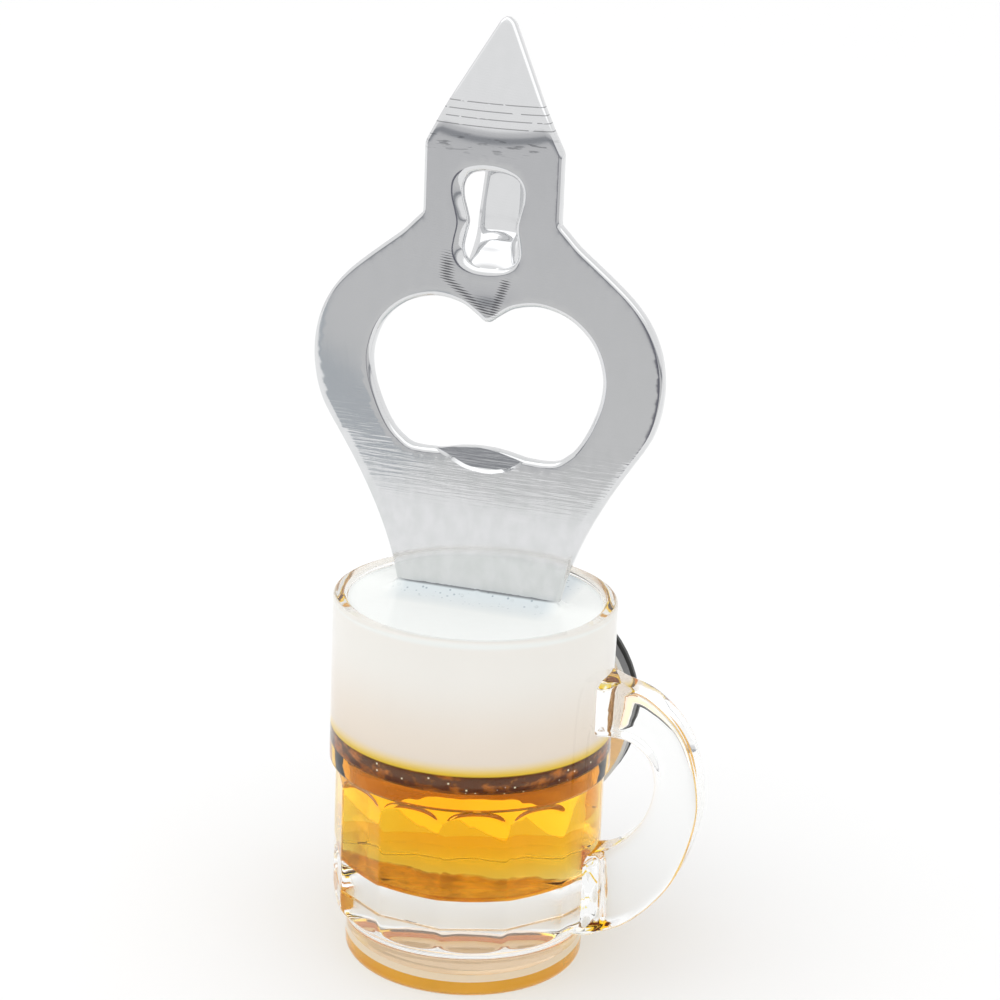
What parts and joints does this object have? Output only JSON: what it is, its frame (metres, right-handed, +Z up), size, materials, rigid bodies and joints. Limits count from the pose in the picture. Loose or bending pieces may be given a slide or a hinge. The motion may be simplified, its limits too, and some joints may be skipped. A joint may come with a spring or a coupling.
{
  "type": "souvenir bottle opener",
  "caption": "Miniature clear beer mug cast full of amber beer and white foam, with a chromed steel opener blade standing in the foam and a round fridge magnet glued on the back.",
  "frame": {"origin": "middle of the underside of the whole object's box, with the mug standing on z = 0; the mug's axis is 4.15 mm to -X and 3.05 mm to -Y of it", "axes": "+X towards the mug's handle, -Y is the blade's flat front, +Y the side with the magnet, +Z up to the blade's piercing point"},
  "size_m": [0.0568, 0.0442, 0.1277],
  "materials": {
    "clear_plastic": "clear injection-moulded polystyrene, polished",
    "amber_resin": "clear amber casting resin with fine bubbles",
    "white_resin": "opaque white casting resin, slightly glossy",
    "chrome": "bright chrome over stamped steel with fine grinding lines",
    "clear_glue": "cloudy clear glue",
    "nickel_plate": "nickel plated, slightly dull",
    "epoxy": "thin amber-brown epoxy line",
    "ferrite": "matt charcoal ferrite"
  },
  "bodies": {
    "root": {"mug_body": "clear_plastic", "beer_fill": "amber_resin", "foam_head": "white_resin", "opener_blade": "chrome", "glue_bed": "clear_glue", "magnet_plate": "nickel_plate", "magnet_epoxy": "epoxy", "ferrite_magnet": "ferrite"}
  },
  "joints": []
}
